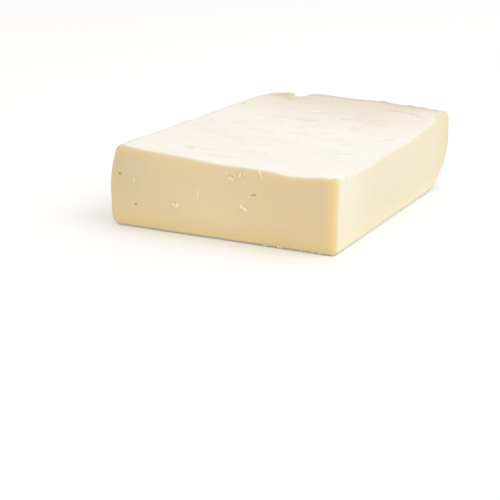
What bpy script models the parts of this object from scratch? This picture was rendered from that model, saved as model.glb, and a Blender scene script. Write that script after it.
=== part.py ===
"""A cut block of semi-soft cheese in a thin pale rind.

The left and back sides are rounded rind, the front and right sides are knife cuts. The block lies flat,
with +Z up. The front cut faces -Y, the right cut faces +X, and the origin is under the middle of its box.
"""

import math

import bmesh
import bpy
import numpy as np
from mathutils import Matrix, Vector

# Driving dimensions of the whole block, in metres

WIDTH = 0.115  # along X, from the belly of the left rind to the right cut
DEPTH = 0.161  # along Y, from the front cut to the belly of the back rind
CORNER_HEIGHT = 0.0348  # where the two cuts meet
LEFT_RISE = 0.0047  # how much thicker the block is at its left rind
TOP_SAG = 0.0016  # how far the top sinks between the front edge and the back rim
RIM_HEIGHT = 0.0387  # the back rim at the right cut
RIM_FALL = 0.0003  # how much lower the rim is at its left end
PLAN_CORNER_RADIUS = 0.020  # the rind's corner, seen from above

# How the rind sides are shaped

LEFT_LEAN = 0.055  # the left side runs this much inwards for each metre towards the back
LEFT_BELLY = 0.0015  # how far the left side's bulge stands out over its foot
LEFT_SHOULDER = 0.0023  # how far the left side draws in above the bulge
LEFT_BELLY_HEIGHT = 0.017
LEFT_EDGE_RADIUS = 0.0034
BACK_EDGE_RADIUS = 0.0088
EDGE_BLEND = 0.02  # the two edge radii change into each other over this far from the rind's corner
BACK_BOW = 0.0030  # the back bulges this far between its ends, seen from above
BOW_CURVE = 0.9  # below 1, the bow is fullest a little to the left
BACK_BELLY_HEIGHT = 0.0262
UNDERCUT = 0.041  # how far the back's belly overhangs the footprint
UNDER_CURVE = 2.6  # 2 rolls under like an ellipse, more is fuller under the belly
FOOT_RADIUS = 0.0045  # rind edge on the underside

# Where the top starts to rise to its left side, from the right cut, and to its back rim, from the back

LEVEL_STRIP = 0.020
CLIMB_CURVE = 1.2  # 1 climbs to the left along a straight line
RIM_FOOT = 0.067
RIM_CREST = 0.012
SAG_CURVE = 0.85  # below 1, the sag is deepest nearer to the front
SAG_REACH = 0.8  # the sag is full from this share of the width on, and fades out to the left

# Broad swells and dips of the top: distance from the right cut and from the front cut, reach along X
# and Y, and height

SWELLS = (
    (0.000, 0.068, 0.040, 0.018, 0.0011),
    (0.002, 0.003, 0.012, 0.010, 0.0008),
    (0.000, 0.134, 0.030, 0.009, -0.0009),
    (0.065, 0.000, 0.016, 0.022, -0.0008),
    (0.041, 0.002, 0.010, 0.014, 0.0004),
    (0.058, 0.150, 0.018, 0.012, 0.0006),
    (0.036, 0.152, 0.012, 0.012, 0.0006),
    (0.022, 0.000, 0.010, 0.010, -0.0006),
    (0.007, 0.000, 0.006, 0.008, 0.0003),
    (0.099, 0.082, 0.014, 0.017, -0.0006),
    (0.071, 0.152, 0.008, 0.012, 0.0007),
)

# Knife cuts

CUT_EDGE_RADIUS = 0.0011
NEAR_EDGE_RADIUS = 0.0020  # where the two cuts meet
FAR_EDGE_RADIUS = 0.0042  # the right cut's top edge, where it runs into the back rim
FAR_EDGE_START = 0.036  # from the back
FAR_EDGE_FULL = 0.017
FAR_EDGE_FADE = 0.010  # from the back rind, which meets the cut in a sharp edge again
FAR_EDGE_END = 0.003
FAR_EDGE_FOOT = 0.024  # the wider radius fades in between these heights
FAR_EDGE_HEAD = 0.034

# Slow unevenness of the faces: how far, and how long its waves are. It sums ripples that each turn and
# shorten against the one before, and each face starts its ripples elsewhere

RIND_WAVE = 0.00035
CUT_WAVE = 0.00018
WAVE_LENGTH = 0.047
RIPPLES = 3
RIPPLE_TURN = 2.1
RIPPLE_SHRINK = 0.23
RIPPLE_START = 1.7
TOP_START = 0.4
LEFT_START = 1.3
BACK_START = 2.2
FRONT_START = 3.1
RIGHT_START = 4.5

# Mesh fineness: cells along each side, and how much they crowd towards the edges

CELLS = (32, 42, 13)
CROWDING = 0.84
CORE_INSET = 0.0115  # the spokes that the rounded surface is found along start this deep
SPOKE_REACH = 1.3  # and end this many times as far out as the unrounded block
BENDING_ROUNDS = 4
SEARCH_STEPS = 44
SAME_PLACE = 1e-7  # corners nearer than this are one corner

LEFT = -WIDTH / 2
RIGHT = WIDTH / 2
FRONT = -DEPTH / 2
BACK = DEPTH / 2

# Eyes, the small holes in the front cut: distance from the right cut, height, and the mouth's
# length, width and depth, with its tilt in degrees

EYES = (
    (0.0408, 0.0231, 0.0031, 0.0017, 0.0012, -12),
    (0.1092, 0.0250, 0.0022, 0.0018, 0.0010, 20),
    (0.1088, 0.0106, 0.0015, 0.0013, 0.0008, 0),
    (0.1009, 0.0112, 0.0017, 0.0014, 0.0008, 35),
)
BALL_SEGMENTS = 14
BALL_RINGS = 8

# The flake of rind that has come loose on the back rim. Its four corners are placed from the right cut
# and from the front cut: the left and the right end of its front border, and of its back border

FLAKE_FRONT = ((0.0970, 0.1413), (0.0815, 0.1355))
FLAKE_BACK = ((0.1005, 0.1565), (0.0868, 0.1572))
FLAKE_THICKNESS = 0.0016
FLAKE_LIFT = 0.0011  # its peak stands this far proud of the rim
FLAKE_REST = 0.25  # the rest of it stands this share of that proud
FLAKE_PEAK = 0.70  # the peak's place, as a share of the length
FLAKE_PEAK_REACH = 0.10
FLAKE_PEAK_FROM = 0.3  # the peak rises between these shares of the width
FLAKE_PEAK_FULL = 0.75
FLAKE_DROP = 0.78  # the torn end sinks to the rim from this share of the length on
FLAKE_CELLS = (12, 6, 1)

# The chip in the rim beside the flake, placed from the right cut and from the back belly

CHIP_START = 0.0868
CHIP_SIZE = (0.0098, 0.0170, 0.0088)
CHIP_FROM_BACK = 0.0064


def ramp(value, low, high):
    """0 below low, 1 above high, and a smooth rise between them."""
    t = np.clip((value - low) / (high - low), 0.0, 1.0)
    return t * t * (3.0 - 2.0 * t)


def wave(across, along, start):
    """Slow unevenness between -1 and 1, from crossing ripples."""
    total = 0.0
    for turn in range(RIPPLES):
        angle = start + RIPPLE_TURN * turn
        reach = WAVE_LENGTH * (1.0 - RIPPLE_SHRINK * turn)
        run = across * math.cos(angle) + along * math.sin(angle)
        total = total + np.sin(2.0 * math.pi * run / reach + RIPPLE_START * start + turn)
    return total / RIPPLES


def swells(x, y):
    """The sum of the top's broad swells and dips over a point of the plan."""
    total = 0.0
    for from_right, from_front, reach_x, reach_y, height in SWELLS:
        across = (RIGHT - x - from_right) / reach_x
        along = (y - FRONT - from_front) / reach_y
        total = total + height * np.exp(-across**2 - along**2)
    return total


def top_height(x, y):
    """Height of the top rind over a point of the plan."""
    from_strip = np.clip((RIGHT - x - LEVEL_STRIP) / (WIDTH - LEVEL_STRIP), 0.0, 1.0)
    along = np.clip((y - FRONT) / (DEPTH - RIM_CREST), 0.0, 1.0) ** SAG_CURVE
    to_right = np.clip((x - LEFT) / WIDTH, 0.0, 1.0)
    climb = LEFT_RISE * from_strip**CLIMB_CURVE
    sag = TOP_SAG * np.sin(math.pi * along) * ramp(to_right, 0.0, SAG_REACH)
    field = CORNER_HEIGHT + climb - sag + RIND_WAVE * wave(x, y, TOP_START)
    rim = RIM_HEIGHT - RIM_FALL * (1.0 - to_right)
    rise = (rim - field) * ramp(y, BACK - RIM_FOOT, BACK - RIM_CREST)
    return field + rise + swells(x, y)


def left_side(y, z):
    """X of the left rind at a depth and a height."""
    from_belly = ((z - LEFT_BELLY_HEIGHT) / LEFT_BELLY_HEIGHT) ** 2
    draws_in = np.where(z > LEFT_BELLY_HEIGHT, LEFT_SHOULDER, LEFT_BELLY)
    inwards = LEFT_LEAN * (y - FRONT) + draws_in * from_belly
    return LEFT + inwards + RIND_WAVE * (1.0 + wave(y, z, LEFT_START))


def back_side(x, z):
    """Y of the back rind at a width and a height. It bellies out high up and rolls under."""
    across = (x - LEFT) / WIDTH
    bow = BACK_BOW * np.sin(math.pi * np.clip(across, 0.0, 1.0) ** BOW_CURVE)
    below = np.clip((BACK_BELLY_HEIGHT - z) / BACK_BELLY_HEIGHT, 0.0, 1.0)
    under = UNDERCUT * (1.0 - np.sqrt(1.0 - below**UNDER_CURVE))
    return BACK - BACK_BOW + bow - under - RIND_WAVE * (1.0 + wave(x, z, BACK_START))


def rounded(first, second, radius):
    """Two sides joined by a rounded edge, all as distances that are negative inside the block."""
    inside = np.minimum(np.maximum(first, second), -radius)
    return inside + np.hypot(np.maximum(first + radius, 0.0), np.maximum(second + radius, 0.0))


def outside(points):
    """How far each point lies outside the block. It is 0 on the surface and negative inside."""
    x, y, z = points.T
    left = left_side(y, z) - x
    back = y - back_side(x, z)
    rind = rounded(left, back, PLAN_CORNER_RADIUS)
    backwards = ramp(back - left, -EDGE_BLEND, EDGE_BLEND)
    edge = LEFT_EDGE_RADIUS + (BACK_EDGE_RADIUS - LEFT_EDGE_RADIUS) * backwards
    rind = rounded(rind, z - top_height(x, y), edge)
    rind = rounded(rind, -z, FOOT_RADIUS)
    front = FRONT - y + CUT_WAVE * (1.0 + wave(x, z, FRONT_START))
    right = x - RIGHT + CUT_WAVE * (1.0 + wave(y, z, RIGHT_START))
    cuts = rounded(front, right, NEAR_EDGE_RADIUS)
    softened = ramp(y, BACK - FAR_EDGE_START, BACK - FAR_EDGE_FULL)
    softened = softened * ramp(z, FAR_EDGE_FOOT, FAR_EDGE_HEAD)
    softened = softened * ramp(-back, FAR_EDGE_END, FAR_EDGE_FADE)
    return rounded(rind, cuts, CUT_EDGE_RADIUS + (FAR_EDGE_RADIUS - CUT_EDGE_RADIUS) * softened)


def spread(fraction):
    """Moves evenly spaced grid lines, from 0 to 1 along a side, closer together near its ends."""
    crowded = 0.5 - 0.5 * np.cos(math.pi * fraction)
    return fraction + CROWDING * (crowded - fraction)


def sharp(grid):
    """Points of the block before its edges are rounded, from their fractions along X, Y and Z."""
    across, along, up = grid.T
    x = LEFT + WIDTH * across
    y = FRONT + DEPTH * along
    for _ in range(BENDING_ROUNDS):
        z = up * top_height(x, y)
        y = FRONT + (back_side(x, z) - FRONT) * along
        left = left_side(y, z)
        x = left + (RIGHT - left) * across
    return np.stack([x, y, up * top_height(x, y)], axis=1)


def settle(grid):
    """Slides each point of a gridded cube along its spoke until it lies on the block's surface."""
    fractions = spread(grid)
    margin = CORE_INSET / np.array([WIDTH, DEPTH, CORNER_HEIGHT])
    core = sharp(np.clip(fractions, margin, 1.0 - margin))
    spokes = sharp(fractions) - core
    near = np.zeros(len(grid))
    far = np.full(len(grid), SPOKE_REACH)
    for _ in range(SEARCH_STEPS):
        middle = 0.5 * (near + far)
        inside = outside(core + spokes * middle[:, None]) < 0.0
        near = np.where(inside, middle, near)
        far = np.where(inside, far, middle)
    return core + spokes * near[:, None]


def surface_height(x, y):
    """Height of the block's upper surface over a point, its rounded edges included."""
    low = CORNER_HEIGHT / 2
    high = 2 * RIM_HEIGHT
    for _ in range(SEARCH_STEPS):
        middle = 0.5 * (low + high)
        if outside(np.array([[x, y, middle]]))[0] < 0.0:
            low = middle
        else:
            high = middle
    return low


def gridded_cube(cells):
    """A cube from 0 to 1 whose sides are cut into the given numbers of cells."""
    cube = bmesh.new()
    bmesh.ops.create_cube(cube, size=1.0)
    bmesh.ops.translate(cube, verts=cube.verts, vec=(0.5, 0.5, 0.5))
    for axis, count in enumerate(cells):
        for step in range(1, count):
            spot = [0.0, 0.0, 0.0]
            normal = [0.0, 0.0, 0.0]
            spot[axis] = step / count
            normal[axis] = 1.0
            everything = cube.verts[:] + cube.edges[:] + cube.faces[:]
            bmesh.ops.bisect_plane(cube, geom=everything, dist=SAME_PLACE, plane_co=spot, plane_no=normal)
    return cube


def as_object(shape, name, collection):
    """Makes a bmesh an object in the collection, and frees it."""
    mesh = bpy.data.meshes.new(name)
    bmesh.ops.recalc_face_normals(shape, faces=shape.faces)
    shape.to_mesh(mesh)
    shape.free()
    made = bpy.data.objects.new(name, mesh)
    collection.objects.link(made)
    return made


def block(collection):
    """The block without its eyes and its flake."""
    shape = gridded_cube(CELLS)
    grid = np.array([vertex.co for vertex in shape.verts])
    for vertex, point in zip(shape.verts, settle(grid)):
        vertex.co = point
    return as_object(shape, "cheese_block", collection)


def ellipsoid(name, centre, radii, tilt, collection):
    """A cutter, with its tilt about Y in degrees."""
    shape = bmesh.new()
    bmesh.ops.create_uvsphere(shape, u_segments=BALL_SEGMENTS, v_segments=BALL_RINGS, radius=1.0)
    turned = Matrix.Rotation(math.radians(tilt), 4, "Y") @ Matrix.Diagonal((*radii, 1.0))
    bmesh.ops.transform(shape, verts=shape.verts, matrix=Matrix.Translation(centre) @ turned)
    return as_object(shape, name, collection)


def eye(number, from_right, height, length, width, depth, tilt, collection):
    """The cutter of one small hole in the front cut."""
    centre = (RIGHT - from_right, FRONT + CUT_WAVE, height)
    return ellipsoid(f"eye_{number}", centre, (length / 2, depth, width / 2), tilt, collection)


def chip(collection):
    """The cutter of the short gap in the back rim, beside the flake."""
    radii = [size / 2 for size in CHIP_SIZE]
    x = RIGHT - CHIP_START + radii[0]
    y = BACK - CHIP_FROM_BACK
    return ellipsoid("chip", (x, y, surface_height(x, y)), radii, 0, collection)


def between(start, end, share):
    return start + (end - start) * share


def flake(collection):
    """A thin tongue of rind that lifts off the back rim and ends torn off at the right."""
    shape = gridded_cube(FLAKE_CELLS)
    for vertex in shape.verts:
        along, across, up = vertex.co
        front = [between(*ends, along) for ends in zip(*FLAKE_FRONT)]
        back = [between(*ends, along) for ends in zip(*FLAKE_BACK)]
        x = RIGHT - between(front[0], back[0], across)
        y = FRONT + between(front[1], back[1], across)
        crown = 1.0 - abs(2.0 * across - 1.0) ** 3
        peak = math.exp(-(((along - FLAKE_PEAK) / FLAKE_PEAK_REACH) ** 2))
        peak *= ramp(across, FLAKE_PEAK_FROM, FLAKE_PEAK_FULL)
        rest = 1.0 - ramp(along, FLAKE_DROP, 1.0)
        lift = FLAKE_LIFT * crown * (FLAKE_REST * rest + (1.0 - FLAKE_REST) * peak)
        sunk = surface_height(x, y) - FLAKE_THICKNESS
        vertex.co = (x, y, sunk + up * (FLAKE_THICKNESS + lift))
    return as_object(shape, "flake", collection)


def paste_material():
    """Warm ivory cheese, waxy rather than glossy."""
    material = bpy.data.materials.new("cheese")
    material.use_nodes = True
    shader = material.node_tree.nodes["Principled BSDF"]
    shader.inputs["Base Color"].default_value = (0.87, 0.76, 0.54, 1.0)
    shader.inputs["Roughness"].default_value = 0.48
    shader.inputs["Metallic"].default_value = 0.0
    return material


def new_collection(name, shown):
    collection = bpy.data.collections.new(name)
    collection.hide_render = not shown
    bpy.context.scene.collection.children.link(collection)
    return collection


def join(whole, name, operation, others):
    """Adds a Boolean with every object of a collection."""
    boolean = whole.modifiers.new(name, "BOOLEAN")
    boolean.operation = operation
    boolean.operand_type = "COLLECTION"
    boolean.collection = others
    boolean.solver = "EXACT"


def bring_to_middle(whole, helpers):
    """Moves everything so that the middle of the block's box comes over the origin."""
    corners = [Vector(corner) for corner in whole.bound_box]
    middle = sum(corners, Vector()) / len(corners)
    for shape in (whole, *helpers):
        shape.data.transform(Matrix.Translation((-middle.x, -middle.y, 0.0)))


def build():
    for leftover in list(bpy.data.objects):
        bpy.data.objects.remove(leftover)
    shown = new_collection("cheese", True)
    lumps = new_collection("lumps", False)
    cutters = new_collection("cutters", False)
    whole = block(shown)
    flake(lumps)
    chip(cutters)
    for number, sizes in enumerate(EYES, start=1):
        eye(number, *sizes, cutters)
    helpers = lumps.objects[:] + cutters.objects[:]
    bring_to_middle(whole, helpers)
    for helper in helpers:
        helper.hide_render = True
        helper.display_type = "WIRE"
    join(whole, "flake", "UNION", lumps)
    join(whole, "eyes and chip", "DIFFERENCE", cutters)
    whole.data.materials.append(paste_material())
    whole.data.shade_smooth()
    whole.data.set_sharp_from_angle(angle=math.radians(40))


build()
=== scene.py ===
# %% [markdown]
# # A cut block of havarti
#
# This lesson dresses one block of semi-soft cheese. It has a thin pale rind on its top, left and back
# sides and two knife cuts, the front and the right one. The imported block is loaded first. It is the
# fixed frame: everything made below lies where that block lies, in metres.

import math
from collections import namedtuple
from types import SimpleNamespace

import bmesh
import bpy
import numpy as np
from mathutils import Matrix, Vector, noise


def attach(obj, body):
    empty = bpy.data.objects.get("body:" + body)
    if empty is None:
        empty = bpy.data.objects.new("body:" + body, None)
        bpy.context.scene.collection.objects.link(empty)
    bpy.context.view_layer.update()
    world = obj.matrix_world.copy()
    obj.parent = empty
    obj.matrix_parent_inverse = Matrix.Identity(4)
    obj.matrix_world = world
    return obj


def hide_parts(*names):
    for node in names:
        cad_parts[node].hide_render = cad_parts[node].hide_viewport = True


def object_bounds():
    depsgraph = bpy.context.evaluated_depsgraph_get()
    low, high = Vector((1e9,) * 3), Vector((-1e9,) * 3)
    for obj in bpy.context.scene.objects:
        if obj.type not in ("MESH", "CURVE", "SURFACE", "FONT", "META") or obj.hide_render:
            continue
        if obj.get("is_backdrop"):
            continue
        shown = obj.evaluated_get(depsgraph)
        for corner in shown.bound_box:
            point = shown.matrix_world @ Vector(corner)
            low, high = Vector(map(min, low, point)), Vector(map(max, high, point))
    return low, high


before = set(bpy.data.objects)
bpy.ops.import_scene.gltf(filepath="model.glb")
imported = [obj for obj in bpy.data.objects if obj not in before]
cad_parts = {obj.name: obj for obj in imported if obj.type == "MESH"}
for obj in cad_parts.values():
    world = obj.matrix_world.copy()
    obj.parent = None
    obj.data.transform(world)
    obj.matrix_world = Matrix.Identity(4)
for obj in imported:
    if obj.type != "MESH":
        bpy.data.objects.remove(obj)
cad_low, cad_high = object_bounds()
scene = bpy.context.scene
TO_MM = 1000.0
print("packed block, mm:", [round(TO_MM * length, 1) for length in cad_high - cad_low])

# %% [markdown]
# ## The camera
#
# A camera can be placed by eye, but a block has straight edges, so its camera can be solved from them.
# The solution is a heading, a downward pitch, a small roll and a focal length. Its place is counted from
# the near bottom corner, where the two cuts meet. A lens in millimetres is the focal length in pixels
# times the sensor's width over the picture's width.

# %% Set the camera
HEADING = math.radians(24.299)
PITCH = math.radians(16.748)
ROLL = math.radians(1.2)
FOCAL_PIXELS = 1700.0
PICTURE_PIXELS = 500.0
SENSOR_WIDTH = 36.0
CORNER_TO_CAMERA = Vector((0.26405, -0.67716, 0.22086))

level = Vector((math.cos(HEADING), math.sin(HEADING), 0.0))
inwards = Vector((-math.sin(HEADING), math.cos(HEADING), 0.0))
forward = math.cos(PITCH) * inwards - math.sin(PITCH) * Vector((0.0, 0.0, 1.0))
upright = level.cross(forward)
to_right = math.cos(ROLL) * level + math.sin(ROLL) * upright
to_top = -math.sin(ROLL) * level + math.cos(ROLL) * upright

near_corner = Vector((cad_high.x, cad_low.y, 0.0))
camera = bpy.data.objects.new("camera", bpy.data.cameras.new("camera"))
scene.collection.objects.link(camera)
axes = Matrix((to_right, to_top, -forward)).transposed()
camera.matrix_world = Matrix.Translation(near_corner + CORNER_TO_CAMERA) @ axes.to_4x4()
camera.data.sensor_width = SENSOR_WIDTH
camera.data.lens = FOCAL_PIXELS * SENSOR_WIDTH / PICTURE_PIXELS
camera.data.clip_start = 0.01
camera.data.clip_end = 20.0
scene.camera = camera
print("lens, mm:", round(camera.data.lens, 1))

# %% [markdown]
# ## The block's form
#
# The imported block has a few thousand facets, enough for weight and contact but not for a close look. A
# finer one could be made by subdividing it, but that rounds the edges again. It is truer to repeat the
# rule that the block was made from: a function that says how far any point lies outside the cheese. It
# is 0 on the surface, so a mesh of any fineness can be laid on it.

# %% Driving dimensions of the form
WIDTH = 0.115
DEPTH = 0.161
CORNER_HEIGHT = 0.0348
LEFT_RISE = 0.0047
TOP_SAG = 0.0016
RIM_HEIGHT = 0.0387
RIM_FALL = 0.0003
PLAN_CORNER_RADIUS = 0.020
LEFT_LEAN = 0.055
LEFT_BELLY = 0.0015
LEFT_SHOULDER = 0.0023
LEFT_BELLY_HEIGHT = 0.017
LEFT_EDGE_RADIUS = 0.0034
BACK_EDGE_RADIUS = 0.0088
EDGE_BLEND = 0.02
BACK_BOW = 0.0030
BOW_CURVE = 0.9
BACK_BELLY_HEIGHT = 0.0262
UNDERCUT = 0.041
UNDER_CURVE = 2.6
FOOT_RADIUS = 0.0045
LEVEL_STRIP = 0.020
CLIMB_CURVE = 1.2
RIM_FOOT = 0.067
RIM_CREST = 0.012
SAG_CURVE = 0.85
SAG_REACH = 0.8
CUT_EDGE_RADIUS = 0.0011
NEAR_EDGE_RADIUS = 0.0020
FAR_EDGE_RADIUS = 0.0042
FAR_EDGE_START = 0.036
FAR_EDGE_FULL = 0.017
FAR_EDGE_FADE = 0.010
FAR_EDGE_END = 0.003
FAR_EDGE_FOOT = 0.024
FAR_EDGE_HEAD = 0.034
RIND_WAVE = 0.00035
CUT_WAVE = 0.00018
WAVE_LENGTH = 0.047
RIPPLES = 3
RIPPLE_TURN = 2.1
RIPPLE_SHRINK = 0.23
RIPPLE_START = 1.7
TOP_START, LEFT_START, BACK_START, FRONT_START, RIGHT_START = 0.4, 1.3, 2.2, 3.1, 4.5
CHIP_START = 0.0868
CHIP_SIZE = (0.0098, 0.0170, 0.0088)
CHIP_FROM_BACK = 0.0064
CHIP_EDGE_RADIUS = 0.0007
LEFT, RIGHT = -WIDTH / 2, WIDTH / 2
FRONT, BACK = -DEPTH / 2, DEPTH / 2

# Broad swells of the top: place from the right and the front cut, reach along X and Y, and height
SWELLS = (
    (0.000, 0.068, 0.040, 0.018, 0.0011),
    (0.002, 0.003, 0.012, 0.010, 0.0008),
    (0.000, 0.134, 0.030, 0.009, -0.0009),
    (0.065, 0.000, 0.016, 0.022, -0.0008),
    (0.041, 0.002, 0.010, 0.014, 0.0004),
    (0.058, 0.150, 0.018, 0.012, 0.0006),
    (0.036, 0.152, 0.012, 0.012, 0.0006),
    (0.022, 0.000, 0.010, 0.010, -0.0006),
    (0.007, 0.000, 0.006, 0.008, 0.0003),
    (0.099, 0.082, 0.014, 0.017, -0.0006),
    (0.071, 0.152, 0.008, 0.012, 0.0007),
)

# %% [markdown]
# The top sags between its front edge and its back rim and climbs to the left, the left side bellies
# out, and the back bellies out high up and rolls under. Each is one small function. `rounded` joins two
# sides by an edge of a given radius.


# %% The sides of the form
def ramp(value, low, high):
    """0 below low, 1 above high, and a smooth rise between them."""
    t = np.clip((value - low) / (high - low), 0.0, 1.0)
    return t * t * (3.0 - 2.0 * t)


def between(start, end, share):
    return start + (end - start) * share


def wave(across, along, start):
    """Slow unevenness between -1 and 1, from crossing ripples."""
    total = 0.0
    for turn in range(RIPPLES):
        angle = start + RIPPLE_TURN * turn
        reach = WAVE_LENGTH * (1.0 - RIPPLE_SHRINK * turn)
        run = across * math.cos(angle) + along * math.sin(angle)
        total = total + np.sin(2.0 * math.pi * run / reach + RIPPLE_START * start + turn)
    return total / RIPPLES


def swells(x, y):
    """The sum of the top's broad swells and dips."""
    total = 0.0
    for from_right, from_front, reach_x, reach_y, height in SWELLS:
        across = (RIGHT - x - from_right) / reach_x
        along = (y - FRONT - from_front) / reach_y
        total = total + height * np.exp(-across**2 - along**2)
    return total


def top_height(x, y):
    from_strip = np.clip((RIGHT - x - LEVEL_STRIP) / (WIDTH - LEVEL_STRIP), 0.0, 1.0)
    along = np.clip((y - FRONT) / (DEPTH - RIM_CREST), 0.0, 1.0) ** SAG_CURVE
    to_right = np.clip((x - LEFT) / WIDTH, 0.0, 1.0)
    climb = LEFT_RISE * from_strip**CLIMB_CURVE
    sag = TOP_SAG * np.sin(math.pi * along) * ramp(to_right, 0.0, SAG_REACH)
    field = CORNER_HEIGHT + climb - sag + RIND_WAVE * wave(x, y, TOP_START)
    rim = RIM_HEIGHT - RIM_FALL * (1.0 - to_right)
    rise = (rim - field) * ramp(y, BACK - RIM_FOOT, BACK - RIM_CREST)
    return field + rise + swells(x, y)


def left_side(y, z):
    from_belly = ((z - LEFT_BELLY_HEIGHT) / LEFT_BELLY_HEIGHT) ** 2
    draws_in = np.where(z > LEFT_BELLY_HEIGHT, LEFT_SHOULDER, LEFT_BELLY)
    inwards = LEFT_LEAN * (y - FRONT) + draws_in * from_belly
    return LEFT + inwards + RIND_WAVE * (1.0 + wave(y, z, LEFT_START))


def back_side(x, z):
    across = (x - LEFT) / WIDTH
    bow = BACK_BOW * np.sin(math.pi * np.clip(across, 0.0, 1.0) ** BOW_CURVE)
    below = np.clip((BACK_BELLY_HEIGHT - z) / BACK_BELLY_HEIGHT, 0.0, 1.0)
    under = UNDERCUT * (1.0 - np.sqrt(1.0 - below**UNDER_CURVE))
    return BACK - BACK_BOW + bow - under - RIND_WAVE * (1.0 + wave(x, z, BACK_START))


def rounded(first, second, radius):
    """Two sides joined by a rounded edge, all as distances that are negative inside the block."""
    inside = np.minimum(np.maximum(first, second), -radius)
    return inside + np.hypot(np.maximum(first + radius, 0.0), np.maximum(second + radius, 0.0))


# %% The whole form
SEARCH_STEPS = 40


def outside_rind(points):
    """How far points lie outside the rind, as if the loaf hadn't been cut."""
    x, y, z = points.T
    left = left_side(y, z) - x
    back = y - back_side(x, z)
    rind = rounded(left, back, PLAN_CORNER_RADIUS)
    backwards = ramp(back - left, -EDGE_BLEND, EDGE_BLEND)
    edge = between(LEFT_EDGE_RADIUS, BACK_EDGE_RADIUS, backwards)
    rind = rounded(rind, z - top_height(x, y), edge)
    return rounded(rind, -z, FOOT_RADIUS)


def outside_cuts(points):
    """How far points lie outside the two knife cuts."""
    x, y, z = points.T
    front = FRONT - y + CUT_WAVE * (1.0 + wave(x, z, FRONT_START))
    right = x - RIGHT + CUT_WAVE * (1.0 + wave(y, z, RIGHT_START))
    return rounded(front, right, NEAR_EDGE_RADIUS)


def outside_block(points):
    x, y, z = points.T
    softened = ramp(y, BACK - FAR_EDGE_START, BACK - FAR_EDGE_FULL)
    softened = softened * ramp(z, FAR_EDGE_FOOT, FAR_EDGE_HEAD)
    softened = softened * ramp(back_side(x, z) - y, FAR_EDGE_END, FAR_EDGE_FADE)
    radius = between(CUT_EDGE_RADIUS, FAR_EDGE_RADIUS, softened)
    return rounded(outside_rind(points), outside_cuts(points), radius)


def last_inside(near, far, is_inside):
    """Halves the way from near to far again and again, to find where the form ends."""
    for _ in range(SEARCH_STEPS):
        halfway = 0.5 * (near + far)
        inside = is_inside(halfway)
        near = np.where(inside, halfway, near)
        far = np.where(inside, far, halfway)
    return near


def surface_height(x, y):
    """Height of the upper surface over places of the plan."""
    low = np.full_like(x, CORNER_HEIGHT / 2)
    high = np.full_like(x, 2 * RIM_HEIGHT)
    return last_inside(low, high, lambda z: outside_block(np.stack([x, y, z], axis=1)) < 0.0)


# %% [markdown]
# A chip of rind is missing from the back rim, beside a flake that has come loose. The chip is a ball
# pressed flat and taken away from the form, again by distances: outside the whole is where a point is
# outside the block or inside the ball.


# %% The form with its chip
chip_radii = np.array(CHIP_SIZE) / 2
chip_place = np.array([RIGHT - CHIP_START + chip_radii[0], BACK - CHIP_FROM_BACK])
chip_centre = np.array([*chip_place, surface_height(chip_place[:1], chip_place[1:])[0]])


def outside_chip(points):
    return (np.linalg.norm((points - chip_centre) / chip_radii, axis=1) - 1.0) * chip_radii.min()


def outside(points):
    return rounded(outside_block(points), -outside_chip(points), CHIP_EDGE_RADIUS)


# %% [markdown]
# ## The skin
#
# The skin starts as a cube whose six sides are cut into small squares. The squares are bent to the
# block's unrounded form, and then each corner slides along a spoke towards the core until it meets the
# surface. All squares stay four-sided and even, which shades more smoothly than the triangles that a
# voxel remesh gives. There are more squares along Y, because the rind's wrinkles lie across that way.


# %% Squares on a cube
def squares_on_cube(cells):
    """The corners as whole numbers along X, Y and Z, and the four corners of each square."""
    found = []
    for axis in range(3):
        u, v = (axis + 1) % 3, (axis + 2) % 3
        i, j = (n.ravel() for n in np.meshgrid(np.arange(cells[u]), np.arange(cells[v])))
        for end in (0, cells[axis]):
            around = ((0, 0), (1, 0), (1, 1), (0, 1)) if end else ((0, 0), (0, 1), (1, 1), (1, 0))
            square = np.zeros((len(i), 4, 3), int)
            for corner, (di, dj) in enumerate(around):
                square[:, corner, axis] = end
                square[:, corner, u] = i + di
                square[:, corner, v] = j + dj
            found.append(square)
    found = np.concatenate(found)
    corners, index = np.unique(found.reshape(-1, 3), axis=0, return_inverse=True)
    return corners, index.reshape(-1, 4)


CELLS = np.array((120, 240, 54))
corners, squares = squares_on_cube(CELLS)
print("squares:", len(squares), "corners:", len(corners))

# %% Lay them on the form
CROWDING = 0.62
CORE_INSET = 0.0115
SPOKE_REACH = 1.3
BENDING_ROUNDS = 4


def spread(fraction):
    """Moves evenly spaced lines closer together near both ends of a side."""
    crowded = 0.5 - 0.5 * np.cos(math.pi * fraction)
    return between(fraction, crowded, CROWDING)


def sharp(grid):
    """Points of the block before its edges are rounded, from their fractions along X, Y and Z."""
    across, along, up = grid.T
    x = LEFT + WIDTH * across
    y = FRONT + DEPTH * along
    for _ in range(BENDING_ROUNDS):
        z = up * top_height(x, y)
        y = FRONT + (back_side(x, z) - FRONT) * along
        left = left_side(y, z)
        x = left + (RIGHT - left) * across
    return np.stack([x, y, up * top_height(x, y)], axis=1)


def settle(grid):
    """Slides each corner along its spoke until it lies on the surface."""
    fractions = spread(grid)
    margin = CORE_INSET / np.array([WIDTH, DEPTH, CORNER_HEIGHT])
    core = sharp(np.clip(fractions, margin, 1.0 - margin))
    spokes = sharp(fractions) - core
    near, far = np.zeros(len(grid)), np.full(len(grid), SPOKE_REACH)
    share = last_inside(near, far, lambda way: outside(core + spokes * way[:, None]) < 0.0)
    return core + spokes * share[:, None]


skin = settle(corners / CELLS)
middle = (skin.max(axis=0) + skin.min(axis=0)) / 2
middle[2] = 0.0
print("smooth skin, mm:", np.round(TO_MM * (skin.max(axis=0) - skin.min(axis=0)), 2))
print("its middle, mm:", np.round(TO_MM * middle, 3))


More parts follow.
